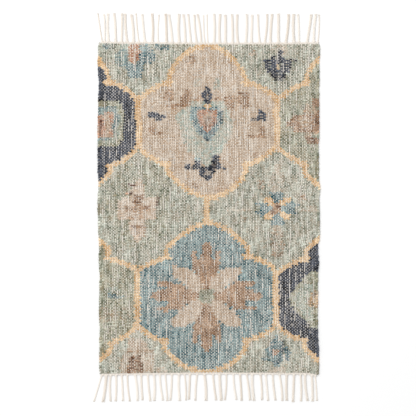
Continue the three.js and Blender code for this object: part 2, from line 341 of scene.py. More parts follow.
# The trellis: two rows of medallions. Each is drawn by its quarters, from a straight side over
# a low arc to a small step, and up an arc to a blunt point, in mm from its middle. The weaver
# drew by eye, so no two quarters are quite alike.
REPEAT = 380
HALF_REPEAT = REPEAT / 2
Quarter = namedtuple(
    "Quarter",
    "place side way side_end step_x step_foot step_head tip lower_bulge upper_bulge")
Row = namedtuple("Row", "middle_x middle_y grounds quarters")
LEFT, MIDDLE, RIGHT = -1, 0, 1
UP, DOWN = 1, -1
FAR_ROW = Row(-3.3, 237.5, {LEFT: "navy", MIDDLE: "taupe", RIGHT: "olive"}, [
    Quarter(LEFT, RIGHT, UP, 58, 107, 110, 121, 211, 10, 26),
    Quarter(LEFT, RIGHT, DOWN, 63, 114, 116, 132, 205, 9, 13),
    Quarter(MIDDLE, LEFT, UP, 61, 107, 108, 121, 211, 8, 23),
    Quarter(MIDDLE, LEFT, DOWN, 63, 111, 113, 129, 205, 9, 13),
    Quarter(MIDDLE, RIGHT, UP, 65, 104, 109, 120, 213, 8, 19),
    Quarter(MIDDLE, RIGHT, DOWN, 63, 108, 113, 128, 208, 8, 18),
    Quarter(RIGHT, LEFT, UP, 64, 110, 108, 124, 211, 3, 18),
    Quarter(RIGHT, LEFT, DOWN, 62, 114, 114, 134, 205, 5, 12),
])
NEAR_ROW = Row(-6.0, -241.5, {LEFT: "olive", MIDDLE: "blue", RIGHT: "navy"}, [
    Quarter(LEFT, RIGHT, UP, 74, 110, 107, 131, 204, 3, 11),
    Quarter(LEFT, RIGHT, DOWN, 74, 118, 128, 145, 203, 9, 14),
    Quarter(MIDDLE, LEFT, UP, 74, 110, 111, 133, 206, 0, 8),
    Quarter(MIDDLE, LEFT, DOWN, 74, 115, 124, 139, 205, 8, 17),
    Quarter(MIDDLE, RIGHT, UP, 73, 113, 112, 134, 207, 6, 12),
    Quarter(MIDDLE, RIGHT, DOWN, 75, 110, 120, 136, 205, 9, 18),
    Quarter(RIGHT, LEFT, UP, 60, 106, 106, 126, 204, 6, 9),
    Quarter(RIGHT, LEFT, DOWN, 74, 112, 120, 137, 203, 8, 13),
])
SIDE_BAND = 9.2
STEP_BAND = 7.4
ARC_BAND = 7.0
LEDGE = 6
POST_TOP = 205
POST_BOTTOM = 206
ARC_POINTS = 16
PICK_WANDER = 0.8
SPECKLE = 0.9


def arc(start, end, bulge):
    """Points on the arc from start to end that bulges away from the medallion's middle."""
    start, end = np.array(start, float), np.array(end, float)
    share = np.linspace(0, 1, ARC_POINTS)[:, None]
    chord = end - start
    away = np.array([chord[1], -chord[0]]) / np.hypot(*chord)
    return start + chord * share + away * bulge * 4 * share * (1 - share)


def distance_to(line, x, y):
    """The distance from each place to a line of points."""
    best = np.full(x.shape, np.inf)
    for start, end in zip(line[:-1], line[1:]):
        run = end - start
        share = ((x - start[0]) * run[0] + (y - start[1]) * run[1]) / (run @ run)
        share = np.clip(share, 0, 1)
        best = np.minimum(best, np.hypot(x - start[0] - share * run[0],
                                         y - start[1] - share * run[1]))
    return best


# The pattern is read at each crossing, with the picks taken two by two
even_x, even_y = on_cloth(warp_share[None, :], ((np.arange(PICKS) // 2) * 2 + 1)[:, None] / PICKS)
wander = rng.normal(0, PICK_WANDER, (PICKS // 2, 1)).repeat(2, axis=0)
chart_x = even_x - cloth_middle[0] + wander
chart_y = even_y - cloth_middle[1] + np.zeros_like(chart_x)
speckle = rng.random((PICKS, WARPS))
band = np.zeros((PICKS, WARPS), bool)
shades = np.tile(DYE_SHADES["sage"], (PICKS, WARPS, 1, 1))
for row in (FAR_ROW, NEAR_ROW):
    for quarter in row.quarters:
        x = quarter.side * (chart_x - row.middle_x - quarter.place * REPEAT)
        y = quarter.way * (chart_y - row.middle_y)
        side = np.array([(HALF_REPEAT, 0), (HALF_REPEAT, quarter.side_end)], float)
        lower = arc((HALF_REPEAT, quarter.side_end), (quarter.step_x, quarter.step_foot),
                    quarter.lower_bulge)
        step = np.array([(quarter.step_x - LEDGE, quarter.step_foot),
                         (quarter.step_x, quarter.step_foot), (quarter.step_x, quarter.step_head)])
        upper = arc((quarter.step_x, quarter.step_head), (0, quarter.tip), quarter.upper_bulge)
        outline = np.concatenate([side, lower, upper])
        here = (x >= 0) & (x <= HALF_REPEAT) & (y >= 0)
        inside = here & (x <= np.interp(y, outline[:, 1], outline[:, 0], right=0))
        shades[inside] = DYE_SHADES[row.grounds[quarter.place]]
        for line, half_width in (
                (side, SIDE_BAND), (lower, ARC_BAND), (step, STEP_BAND), (upper, ARC_BAND)):
            band |= here & (distance_to(line, x, y) < half_width)
post_head = FAR_ROW.middle_y - POST_TOP
post_foot = NEAR_ROW.middle_y + POST_BOTTOM
post_x = (FAR_ROW.middle_x + NEAR_ROW.middle_x) / 2
band |= (np.abs(chart_x - post_x) < SIDE_BAND) & (chart_y > post_foot) & (chart_y < post_head)


def within(x, y, rows, turns=0):
    """Where a mark lies. Its rows are (out, low, high): so far out from the medallion's
    middle it reaches from low to high. Each turn swings it a quarter, to the right."""
    for _ in range(turns):
        x, y = -y, x
    out, low, high = np.array(rows, float).T
    reach = (y >= out[0]) & (y <= out[-1])
    return reach & (x >= np.interp(y, out, low)) & (x <= np.interp(y, out, high))


def mark(middle, name, solid, rows, turns=0):
    """Weaves a mark in one dye. A faded one holds only a share of it, more or less by hump."""
    mixing = SPECKLE * (speckle - 0.5) if solid < 1 else 0
    held = np.clip(solid + mixing, 0, 1) * within(
        chart_x - middle[0], chart_y - middle[1], rows, turns)
    shades[:] += held[..., None, None] * (DYE_SHADES[name] - shades)


def weave(middle, marks):
    """Weaves a motif's marks one over another. Their rows are (dye, share held, rows)."""
    for name, solid, rows in marks:
        mark(middle, name, solid, rows)


# The taupe medallion: a heart in a blue ring on a pale cloud, a seed above and a palmette below
TAUPE = (-3.3, 237.5)
weave(TAUPE, [
    ("aqua", 0.72, [
        (-118, -6, 8), (-100, -22, 26), (-80, -52, 40), (-60, -60, 46), (-42, -72, 62),
        (-20, -70, 72), (0, -88, 70), (20, -88, 62), (40, -62, 60), (56, -50, 44)]),
    ("aqua", 0.4, [(90, 15, 42), (120, 20, 34)]),
    ("aqua", 0.4, [(95, -42, -18), (118, -36, -22)]),
    ("brown", 0.9, [(60, -118, -96), (74, -120, -92), (88, -112, -98)]),
    ("brown", 0.95, [(44, -70, -48), (66, -76, -46), (80, -66, -46), (90, -60, -48)]),
    ("brown", 0.65, [(58, -40, -20), (78, -36, -24)]),
    ("brown", 0.75, [(40, -104, -66), (52, -118, -72)]),
    ("brown", 0.75, [(58, 22, 38), (72, 24, 38)]),
    ("brown", 0.95, [(34, 58, 70), (50, 48, 70), (74, 43, 68)]),
    ("brown", 0.9, [(38, 92, 110), (52, 84, 114), (66, 80, 114), (82, 86, 112)]),
    ("brown", 0.45, [(162, -64, -30), (182, -56, -34)]),
    ("brown", 0.4, [(160, 58, 70), (174, 60, 68)]),
    ("brown", 0.4, [(-192, 18, 54), (-176, 24, 52)]),
    ("brown", 0.4, [(-194, -46, -20), (-168, -40, -24)]),
    ("brown", 0.4, [(-96, 122, 140), (-84, 128, 140)]),
    ("brown", 0.95, [(-32, -157, -142), (-12, -163, -144)]),
    ("brown", 0.85, [(-37, -142, -120), (-28, -150, -126)]),
    ("brown", 0.95, [(-38, 144, 158), (-12, 146, 159)]),
    ("brown", 0.85, [(-42, 113, 146), (-33, 113, 146)]),
    ("blue", 1, [
        (-48, -7, 5), (-38, -14, 14), (-24, -28, 26), (-8, -38, 36), (8, -46, 40), (30, -46, 40),
        (45, -38, 37)]),
    ("navy", 0.3, [(-46, -8, 6), (-34, -16, 16), (-22, -24, 24)]),
    ("navy", 0.3, [(2, 32, 41), (38, 32, 41)]),
    ("terracotta", 0.85, [
        (-26, -5, 3), (-14, -14, 12), (0, -26, 24), (20, -28, 26), (33, -28, 26)]),
    ("taupe", 0.7, [(-12, -6, 4), (5, -14, 10), (24, -16, 15)]),
    ("umber", 0.3, [(-14, -6, 5), (4, -14, 12), (12, -12, 12)]),
    ("gold", 1, [(36, -4, 6), (44, -10, 12), (54, -14, 14)]),
    ("navy", 1, [
        (49, -5, 4), (58, -10, 9), (68, -14, 10), (84, -14, 9), (91, -7, 6), (97, -3, 3)]),
    ("taupe", 0.4, [(60, -5, 1), (80, -5, 1)]),
    ("navy", 1, [(-160, -5, 2), (-150, -12, 8), (-138, -20, 18), (-118, -24, 24)]),
    ("navy", 1, [(-129, -62, -48), (-114, -62, -48)]),
    ("navy", 0.75, [(-129, -50, -36), (-118, -48, -36)]),
    ("navy", 1, [(-130, -38, -16), (-118, -38, -18), (-106, -34, -22)]),
    ("blue", 1, [(-106, -36, -22), (-93, -34, -24)]),
    ("navy", 1, [(-130, 2, 38), (-119, 6, 36), (-107, 12, 31), (-91, 16, 30)]),
    ("navy", 0.9, [(-129, 40, 54), (-118, 40, 48)]),
    ("taupe", 0.3, [(-148, -5, 6), (-134, -12, 14), (-120, 6, 26), (-106, 16, 26)]),
    ("navy", 1, [
        (6, -142, -128), (13, -148, -122), (17, -162, -118), (21, -164, -118), (24, -164, -136),
        (32, -156, -138)]),
    ("navy", 0.75, [(4, 118, 138), (13, 122, 138)]),
    ("navy", 1, [(5, 134, 146), (20, 140, 147), (33, 142, 148)]),
    ("navy", 1, [(6, 151, 158), (31, 152, 158)])])

# The side medallion on navy: an olive panel round a blue one with a terracotta heart
NAVY_SIDE = (-270.9, 237.5)
weave(NAVY_SIDE, [
    ("olive", 1, [
        (-68, -60, 18), (-50, -60, 32), (-30, -60, 38), (20, -60, 40), (46, -60, 36),
        (60, -60, 20)]),
    ("aqua", 0.5, [(-60, -60, 8), (-45, -60, 22), (0, -60, 32), (20, -60, 32), (46, -60, 20)]),
    ("blue", 0.85, [(-52, -60, -14), (-40, -60, 8), (0, -60, 24), (24, -60, 24), (44, -60, 14)]),
    ("terracotta", 0.95, [
        (-40, -16, 6), (-34, -60, 8), (-6, -60, 6), (8, -60, 10), (22, -60, 12), (24, -18, 12),
        (32, -18, 6)]),
    ("taupe", 0.85, [(-38, -14, 0), (24, -16, 0)]),
    ("umber", 0.7, [(-33, -29, -24), (8, -29, -24)])])

# The side medallion on olive: a brown flower with a taupe heart
OLIVE_SIDE = (264.3, 237.5)
weave(OLIVE_SIDE, [
    ("brown", 1, [(40, 17, 60), (66, 20, 60)]),
    ("brown", 0.65, [(24, -2, 60), (40, 0, 60), (52, 2, 14)]),
    ("brown", 1, [
        (-23, -30, 60), (-14, -36, 60), (-8, -48, 60), (2, -48, 60), (8, -40, 60), (24, -30, 60)]),
    ("umber", 0.22, [(-22, -30, -18), (-8, -46, -17), (2, -46, -17), (12, -34, -19)]),
    ("umber", 0.2, [(-22, 18, 60), (24, 18, 60)]),
    ("taupe", 1, [(-8, -17, 13), (0, -20, 13), (12, -20, 11)]),
    ("cream", 0.25, [(-4, -17, 6), (12, -18, 6)]),
    ("taupe", 0.4, [(-22, -14, 16), (-8, -14, 16)]),
    ("brown", 0.6, [(-38, -4, 34), (-25, 0, 34)]),
    ("brown", 1, [(-60, 12, 60), (-50, 2, 60), (-40, 4, 60)]),
    ("umber", 0.34, [(-58, 8, 60), (-40, 6, 60)])])


def mirrored(rows):
    """A mark's rows the other way round."""
    return [(out, -high, -low) for out, low, high in rows]


# The blue medallion: a rosette of four three-fingered brown petals and four plain taupe ones
ROSETTE = (-6.0, -241.5)
BROAD_PETAL = [(8, -46, -10), (24, -52, -11), (42, -78, -12), (60, -94, -22), (74, -97, -42),
               (84, -92, -64)]
FINGERED_PETAL = [(18, -7, 8), (42, -11, 12), (60, -26, 26), (78, -38, 36), (106, -40, 38)]
MIDDLE_FINGER = [(100, -15, 14), (134, -14, 14), (147, -8, 9), (154, -3, 4)]
SHORT_FINGERS = [[(104, -41, -27), (126, -39, -28)], [(104, 24, 39), (126, 26, 38)]]
LONG_FINGERS = [[(104, -41, -28), (135, -40, -30)], [(104, 25, 40), (135, 28, 39)]]
mark(ROSETTE, "taupe", 1, [(-36, -34, 34), (36, -34, 34)])
for petal in (BROAD_PETAL, mirrored(BROAD_PETAL)):
    for turns in (0, 2):
        mark(ROSETTE, "taupe", 1, petal, turns)
for turns in range(4):
    fingers = LONG_FINGERS if turns % 2 else SHORT_FINGERS
    for petal in (FINGERED_PETAL, MIDDLE_FINGER, *fingers):
        mark(ROSETTE, "brown", 1, petal, turns)
mark(ROSETTE, "olive", 1, [(-18, -12, 10), (-8, -22, 20), (10, -22, 20), (20, -12, 12)])

# The side medallion on olive below: two short blue dashes
PLAIN_SIDE = (-270.9, -249.7)
weave(PLAIN_SIDE, [
    ("brown", 0.14, [(-58, -30, 60), (-20, -30, 60)]),
    ("aqua", 0.4, [(14, -6, 30), (32, -4, 28)]),
    ("blue", 0.9, [(2, -5, 6), (18, -3, 7)]),
    ("blue", 0.9, [(4, 8, 15), (18, 8, 15)]),
    ("blue", 0.7, [(2, 18, 34), (12, 18, 34)])])

# The side medallion on navy below: a pale diamond in an olive edge
DIAMOND = (264.3, -249.7)
weave(DIAMOND, [
    ("olive", 1, [
        (-78, 18, 60), (-60, 1, 60), (-40, -18, 60), (-20, -36, 60), (0, -47, 60), (20, -36, 60),
        (40, -20, 60), (58, -6, 60), (70, 9, 60), (80, 18, 60)]),
    ("aqua", 0.75, [(-58, 6, 22), (-35, -10, 24), (-5, -32, 18), (15, -26, 20), (40, -8, 24)]),
    ("brown", 0.8, [(-22, 16, 60), (-12, 8, 60), (0, 4, 60), (10, 18, 60), (20, 24, 60)]),
    ("gold", 0.4, [(-22, 14, 60), (20, 14, 60)]),
    ("umber", 0.8, [(-18, 23, 31), (-12, 23, 31)]),
    ("umber", 0.8, [(9, 23, 31), (15, 23, 31)])])

# The sage grounds: a terracotta bud in blue leaves, and a navy palmette with a gold heart
BUD = (-194.1, 381.6)
weave(BUD, [
    ("blue", 0.75, [(55, 46, 84), (72, 48, 84)]),
    ("blue", 0.6, [(56, -96, -70), (72, -94, -68)]),
    ("aqua", 0.75, [(20, -50, -18), (36, -60, -24), (46, -56, -26), (72, -46, -20)]),
    ("blue", 0.55, [(6, -44, -18), (22, -62, -24), (44, -60, -28), (58, -50, -30)]),
    ("blue", 1, [(-25, -26, 8), (0, -28, 14), (8, -32, 14), (18, -38, 14)]),
    ("blue", 1, [(16, 0, 34), (26, 0, 44), (46, 2, 44), (60, 4, 34), (74, 4, 24)]),
    ("cream", 0.5, [(22, 14, 19), (70, 14, 19)]),
    ("taupe", 1, [(16, -14, -6), (34, -26, 4), (50, -27, 7), (66, -26, 6), (74, -18, 4)]),
    ("terracotta", 0.8, [
        (16, -14, -7), (24, -20, 0), (34, -26, 4), (50, -27, 7), (66, -26, 6), (74, -18, 4)]),
    ("taupe", 0.7, [(24, -14, -4), (60, -16, -6)])])
PALMETTE = (187.5, 381.6)
weave(PALMETTE, [
    ("taupe", 0.5, [(40, 14, 32), (58, -20, 30), (74, -20, 30)]),
    ("brown", 0.6, [(40, -74, -62), (58, -70, -62)]),
    ("navy", 1, [(-9, -22, -12), (-3, -28, -18), (5, -31, -19), (31, -28, -18)]),
    ("navy", 1, [(-12, -15, -1), (31, -14, -2)]),
    ("navy", 1, [(-6, 10, 26), (8, 14, 26), (33, 16, 26)]),
    ("navy", 1, [(-4, 28, 35), (2, 31, 39), (33, 31, 39)]),
    ("navy", 0.95, [
        (-34, 0, 9), (-28, -7, 13), (-20, -13, 24), (-12, -15, 26), (-5, -22, 24), (0, -14, 26)]),
    ("navy", 1, [(14, 0, 14), (36, 0, 15), (42, 4, 14), (56, 4, 14)]),
    ("navy", 1, [(32, -14, -4), (38, -14, -6)]),
    ("navy", 1, [(26, 43, 51), (33, 44, 51)]),
    ("navy", 1, [(26, -38, -31), (31, -37, -31)]),
    ("taupe", 0.2, [(-26, -2, 9), (-12, -6, 12)]),
    ("gold", 0.9, [(-2, 0, 7), (6, -2, 8), (14, -2, 8), (17, 0, 8)])])

# The sage grounds halfway down: a faded taupe cross, and a small blue and gold flower
CROSS = (-194.1, 1.4)
mark(CROSS, "olive", 0.55, [
    (-112, -50, 50), (-60, -80, 74), (0, -86, 80), (60, -80, 86), (104, -58, 76), (128, -26, 30)])
CROSS_PARTS = [
    [(28, -24, 22), (50, -22, 22), (66, -16, 22), (72, -12, 20), (76, -4, 8), (86, -2, 5)],
    [(-32, -54, 48), (-22, -57, 52), (0, -57, 52), (20, -54, 50), (29, -46, 48)],
    [(-90, -6, 8), (-80, -14, 14), (-62, -26, 22), (-48, -26, 22), (-30, -20, 20)]]
for part in CROSS_PARTS:
    mark(CROSS, "taupe", 1, part)
    mark(CROSS, "cream", 0.25, part)
weave(CROSS, [
    ("brown", 1, [(18, -13, -2), (37, -12, -2)]),
    ("brown", 1, [(14, 3, 11), (37, 4, 11)]),
    ("umber", 0.35, [(18, -13, 11), (36, -12, 11)]),
    ("brown", 0.85, [(-30, -12, -5), (18, -12, -4)]),
    ("brown", 0.8, [(-32, 2, 11), (14, 2, 11)]),
    ("brown", 0.75, [(-9, -37, -12), (5, -34, -12)]),
    ("brown", 0.8, [(-31, -22, -4), (-21, -22, -4)]),
    ("brown", 1, [(-6, 22, 33), (-1, 14, 28), (7, 14, 33)]),
    ("umber", 0.4, [(-1, 14, 28), (7, 14, 33)]),
    ("brown", 0.9, [(-54, -4, 20), (-46, -4, 20)]),
    ("umber", 0.6, [(-54, -17, -6), (-45, -17, -6)]),
    ("brown", 0.25, [(-76, -14, 14), (-58, -20, 18)]),
    ("umber", 1, [(61, -27, -16), (72, -28, -17)]),
    ("umber", 0.6, [(63, -13, -7), (70, -13, -7)]),
    ("terracotta", 0.8, [(42, -29, -22), (50, -29, -22)]),
    ("umber", 0.7, [(41, -20, -13), (47, -20, -13)]),
    ("umber", 0.45, [(-4, 51, 57), (32, 51, 58)])])
FLOWER = (187.5, 1.4)
weave(FLOWER, [
    ("taupe", 0.5, [(92, -12, 14), (104, -10, 12), (126, -6, 18)]),
    ("taupe", 0.38, [(48, -24, 18), (92, -28, 24)]),
    ("brown", 0.35, [(-128, -12, 20), (-98, -18, 20), (-60, -14, 14), (-48, -8, 8)]),
    ("brown", 0.4, [(54, -58, -34), (76, -54, -36)]),
    ("taupe", 0.5, [(-7, 60, 112), (4, 60, 112)]),
    ("taupe", 0.5, [(-10, -140, -68), (2, -140, -68)]),
    ("brown", 0.35, [(-36, -100, -78), (-20, -104, -84)]),
    ("brown", 0.5, [(24, 60, 80), (42, 62, 80)])])
SMALL_PETAL = [(8, -4, 4), (20, -8, 8), (26, -14, 12), (36, -19, 15), (46, -21, 17)]
GOLD_PETAL = [(5, -32, -9), (11, -37, -7), (24, -38, -9), (32, -35, -13)]
for petal in (GOLD_PETAL, mirrored(GOLD_PETAL)):
    for turns in (0, 2):
        mark(FLOWER, "gold", 1, petal, turns)
for turns in range(4):
    mark(FLOWER, "blue", 1, SMALL_PETAL, turns)
for turns in (1, 3):
    mark(FLOWER, "blue", 1, [(44, -19, -5), (60, -18, -8)], turns)
    mark(FLOWER, "blue", 1, [(44, 5, 18), (58, 8, 17)], turns)
weave(FLOWER, [
    ("brown", 1, [(-14, -13, -3), (-6, -15, 10), (6, -10, 11), (14, -7, 6), (19, -4, 3)]),
    ("umber", 0.5, [(1, -1, 10), (10, -1, 10)]),
    ("umber", 0.5, [(-13, -15, -7), (-3, -15, -7)]),
    ("taupe", 0.7, [(-8, -6, 5), (4, -7, 2)])])

# The sage grounds at the near end: a brown leaf fading into taupe, and a blue palmette
LEAF = (-194.1, -387.0)
weave(LEAF, [
    ("taupe", 0.85, [
        (-70, -50, 42), (-30, -50, 44), (-10, -38, 46), (2, -28, 34), (14, -30, 22),
        (28, -26, 12)]),
    ("taupe", 0.6, [(-64, 46, 82), (-46, 48, 76)]),
    ("brown", 1, [(-70, -28, -5), (-40, -28, -5), (-26, -20, -4), (-13, -17, -8)]),
    ("brown", 0.95, [(-70, 1, 13), (-36, 1, 13), (-20, 0, 7)]),
    ("umber", 0.2, [(-70, -28, 13), (-40, -28, 12), (-14, -16, 4)]),
    ("brown", 0.6, [(-12, 32, 48), (-3, 32, 44)]),
    ("brown", 0.25, [(-8, -30, 30), (26, -26, 14)])])
SMALL_PALMETTE = (187.5, -387.0)
weave(SMALL_PALMETTE, [
    ("taupe", 0.6, [(-70, -32, 26), (-48, -10, 24)]),
    ("blue", 1, [
        (-44, -3, 7), (-37, -11, 11), (-27, -16, 15), (-20, -20, 16), (-8, -24, 12), (8, -26, 14),
        (18, -22, 18), (26, -9, 8), (37, -4, 5)]),
    ("blue", 0.7, [(-30, -40, -20), (-12, -38, -22), (2, -30, -24)]),
    ("blue", 1, [(-30, 26, 34), (-12, 21, 36), (2, 20, 35), (8, 20, 26)]),
    ("navy", 0.4, [(-26, 9, 18), (20, 10, 18)]),
    ("navy", 0.3, [(-28, 26, 34), (2, 24, 35)]),
    ("navy", 0.1, [(-44, -3, 7), (-27, -16, 15), (-22, -18, 15)]),
    ("blue", 0.9, [(-34, -45, -33), (-27, -44, -30)]),
    ("terracotta", 1, [(-19, -14, -2), (-5, -10, 4), (4, -14, 5)]),
    ("olive", 0.45, [(-16, -9, 0), (0, -9, 0)]),
    ("cream", 0.6, [(-28, 17, 23), (-6, 17, 23)])])

shades[band] = DYE_SHADES["gold"]

# Wherever the weft covers it the warp is tinted towards the dye beside it, the dark dyes most:
# partly dye rubbed off on it, partly painted shade where it lies sunk between the humps
beside_warp = shades[stops, :, 1].swapaxes(0, 1)
rubbed_and_shaded = WARP_STAIN_AND_SHADE * (1 - riding.T) * (1 - beside_warp.mean(axis=-1))
stained_and_shaded = warp_colours + rubbed_and_shaded[..., None] * (beside_warp - warp_colours)
warp_colour_data = np.ones((*stained_and_shaded.shape[:2], warp_rings.shape[2], 4), np.float32)
warp_colour_data[..., :3] = stained_and_shaded[:, :, None]
warp.data.color_attributes["yarn_colour"].data.foreach_set("color", warp_colour_data.ravel())

# Jute takes its dye unevenly: from hump to hump, along a strand and from place to place. It is
# also paler or darker in streaks down the warps. Its paleness and its wear both vary so.
Unevenness = namedtuple("Unevenness", "usual hump strand streak patch")
PALENESS = Unevenness(usual=0.5, hump=0.22, strand=0.2, streak=0.48, patch=0.12)
WEAR = Unevenness(usual=0.22, hump=0.14, strand=0.14, streak=0.25, patch=0.13)
PICK_PALENESS = 0.05
PALENESS_LIMITS = (-0.03, 1.15)
DARKEST = 0.008
crossings = (PICKS, WARPS)


def patches(waves):
    """A slow change over the cloth: waves of so many mm across, along, and a start."""
    return sum(np.sin(2 * np.pi * (plain_x / across + plain_y / along) + start)
               for across, along, start in waves) / len(waves)


paleness = (PALENESS.usual
            + PALENESS.hump * rng.normal(size=crossings)
            + drift(PICKS, across_mm, (21, 47, 103), PALENESS.strand)
            + drift(WARPS, along_mm, (57, 140), PALENESS.streak).T
            + rng.normal(0, PICK_PALENESS, (PICKS, 1))
            + PALENESS.patch * patches([(310, 170, 0.4), (-190, 240, 1.9), (130, -110, 4.1)]))
wear = (WEAR.usual
        + WEAR.hump * rng.normal(size=crossings)
        + drift(PICKS, across_mm, (34, 61), WEAR.strand)
        + drift(WARPS, along_mm, (43, 96), WEAR.streak).T
        + WEAR.patch * patches([(90, 130, 1.2), (-140, 75, 0.3), (220, -95, 2.7)]))
paleness = np.clip(paleness, *PALENESS_LIMITS)[..., None]
wear = np.clip(wear, 0, 1)[..., None]
deep, pale, worn = shades[..., 0, :], shades[..., 1, :], shades[..., 2, :]
weft_colour = np.clip(deep + (pale - deep) * paleness, DARKEST, 1)
weft_colour += wear * (worn - weft_colour)

# Every pick is laid out from left to right first: two rings on each warp, and half a turn
# round the selvedge at either side
pick_number, warp_number = np.arange(PICKS)[:, None], np.arange(WARPS)[None, :]
on_top = ((pick_number + warp_number) % 2 == 0) & (~floats | band)
parity = np.where(pick_number % 2 == 0, 1.0, -1.0)
lean = np.concatenate([
    [np.pi / 2, np.pi / 4], np.zeros(2 * WARPS), [np.pi / 4, np.pi / 2]])[None, :]
side = np.where(np.arange(2 * WARPS + 4) < WARPS, -1.0, 1.0)[None, :]


def doubled(values):
    """A value for each ring of a pick, from one for each warp."""
    rings = values.repeat(2, axis=1)
    first, last = rings[:, :1], rings[:, -1:]
    return np.concatenate([first, first, rings, last, last], axis=1)


level = doubled(np.where(on_top, 1.0, -1.0))
level[:, :2] = level[:, -2:] = parity
ring_colours = np.stack([doubled(weft_colour[..., channel]) for channel in range(3)], axis=-1)

# At an upright change of dye the darker strand laps halfway over the next warp, so that the
# two dyes meet in small teeth
tone = shades.mean(axis=(2, 3))
before, after = np.s_[:, :-1], np.s_[:, 1:]
for near_ring, here, beside in ((3, before, after), (2, after, before)):
    lap = ~on_top[here] & on_top[beside] & (tone[beside] < tone[here] - LAP_CONTRAST)
    level[:, near_ring:-2:2][here][lap] = 1
    ring_colours[:, near_ring:-2:2][here][lap] = weft_colour[beside][lap]
offset = np.tile([-PLATEAU, PLATEAU], WARPS)[None, :] * warp_pitch
turn_width = SELVEDGE_TURN + warp_pitch * (0.5 - PLATEAU) - WEFT_HEIGHT / 2
edge_offset = PLATEAU * warp_pitch
offset = np.concatenate([[[-edge_offset] * 2], offset, [[edge_offset] * 2]], axis=1)
loop = (turn_width + rng.normal(0, LOOP_NOISE, (PICKS, 1))) * np.sin(lean) * side
ring_x = doubled(cross_x) + offset + loop
run = np.concatenate([[-0.5, -0.25], np.zeros(2 * WARPS), [0.25, 0.5]])[None, :]
ring_y = doubled(cross_y) + parity * run * pick_pitch
height_jitter = doubled(rng.normal(0, LEVEL_NOISE, crossings))
swell = sum(
    np.sin(2 * np.pi * (turn_x * plain_x + turn_y * plain_y) / length)
    for (turn_x, turn_y), length in zip(((1, 1), (1, -1), (0, 1)), SWELLS)) / 3
swelled = doubled(1 + SWELL_HEIGHT * (swell - 1) / 2 / CLOTH_THICKNESS)
ring_z = MIDDLE_LEVEL + (WEFT_LIFT * np.cos(lean) + np.minimum(height_jitter, 0)) * level
middle = np.stack([ring_x, ring_y, ring_z * swelled], axis=-1)
high = np.stack([
    np.sin(lean) * side + np.zeros_like(parity), np.zeros_like(ring_x), np.cos(lean) * parity],
    axis=-1)
wide = np.broadcast_to([0, 1.0, 0], high.shape)
fullness = (1 - BARE_THINNING * bareness.T + FULLNESS_NOISE * rng.normal(size=crossings)
            + drift(PICKS, across_mm, (33, 89), FULLNESS_DRIFT))
fullness[:, :EDGE_WARPS] *= EDGE_COVER
fullness[:, -EDGE_WARPS:] *= EDGE_COVER
fullness = np.clip(fullness, *FULLNESS_LIMITS)
width = doubled(WEFT_WIDTH * fullness)
height = doubled(WEFT_HEIGHT * np.clip(fullness, *HEIGHT_LIMITS))
rings = rings_round(middle, wide, high, width, height, YARN_CORNERS)
rings[..., 2] = np.maximum(rings[..., 2], REST_LEVEL)
rings[1::2] = rings[1::2, ::-1]
ring_colours[1::2] = ring_colours[1::2, ::-1]

# Retted jute, loosely spun and dyed in hanks: dull, a little hairy, with coarse fibres along
# the strand that take the dye unevenly
jute = spun_yarn(
    "dyed_jute", fibre=(7, 0.35, 0.35), relief=0.2, contrast=0.14, roughness=0.92, sheen=0.06)


def one_strand(values):
    """The picks of a band end to end, as the strand that the shuttle lays."""
    return np.concatenate([values[0, :1], values[:, 1:].reshape(-1, *values.shape[2:])])[None]


picks_in_band = PICKS // BANDS
for number in range(BANDS):
    picks = slice(number * picks_in_band, (number + 1) * picks_in_band)
    strand = Yarns(
        one_strand(rings[picks]), one_strand(ring_colours[picks]), rings.shape[1] - 1, 1)
    weft = yarn_piece(f"weft_{number + 1}", [strand])
    weft.data.materials.append(jute)
    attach(weft, "root")
    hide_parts("field")

# The fringes: past a heading of twined cotton the warp ends hang free in little bundles, each
# knotted at its root, plied by hand, cut off and a little frayed. They lie on the floor.
Strand = namedtuple("Strand", "root tip width reach")
FAR_STRANDS = [Strand(*row) for row in [
    (-292, -304, 4, 78), (-286, -287, 5, 76), (-274, -276, 7, 78), (-255, -259, 7, 79),
    (-239, -238, 7, 79), (-223, -229, 7, 78), (-206, -212, 8, 76), (-191, -199, 4, 79),
    (-174, -182, 7, 77), (-154, -155, 7, 79), (-138, -136, 4, 76), (-115, -118, 7, 79),
    (-99, -109, 7, 77), (-80, -81, 8, 79), (-64, -69, 7, 78), (-48, -56, 6, 79), (-32, -39, 6, 77),
    (-20, -30, 6, 79), (-10, -14, 4, 76), (-2, -4, 4, 78), (15, 15, 7, 80), (31, 32, 7, 79),
    (46, 46, 8, 77), (66, 64, 7, 79), (81, 79, 7, 78), (102, 105, 7, 79), (118, 120, 7, 77),
    (141, 136, 6, 78), (154, 161, 6, 79), (170, 175, 7, 79), (192, 192, 8, 80), (212, 220, 7, 78),
    (235, 234, 8, 79), (248, 246, 6, 78), (270, 282, 7, 77), (289, 295, 7, 78), (300, 304, 4, 76),
]]
NEAR_STRANDS = [Strand(*row) for row in [
    (-293, -315, 5, 72), (-281, -290, 8, 73), (-269, -269, 6, 72), (-254, -255, 6, 72),
    (-239, -235, 6, 72), (-223, -216, 5, 73), (-202, -195, 7, 72), (-185, -181, 6, 70),
    (-167, -160, 6, 73), (-150, -149, 7, 72), (-134, -125, 6, 71), (-119, -113, 5, 73),
    (-101, -105, 6, 72), (-81, -79, 7, 73), (-66, -62, 5, 72), (-51, -54, 6, 70),
    (-31, -36, 6, 73), (-12, -7, 8, 73), (12, 21, 6, 72), (30, 35, 8, 73), (49, 45, 5, 72),
    (68, 77, 6, 71), (86, 91, 6, 73), (104, 114, 6, 72), (120, 125, 8, 73), (142, 147, 6, 71),
    (157, 164, 6, 73), (176, 184, 6, 72), (194, 203, 6, 73), (215, 215, 7, 72), (235, 232, 7, 76),
    (252, 254, 6, 74), (265, 272, 7, 73), (283, 286, 7, 72), (293, 298, 4, 69),
]]
CLOTH_OFFSET = (0.5, -1.45, 0)
PART_MIDDLE = cloth_middle - CLOTH_OFFSET
PARTING_GAP = 0.3
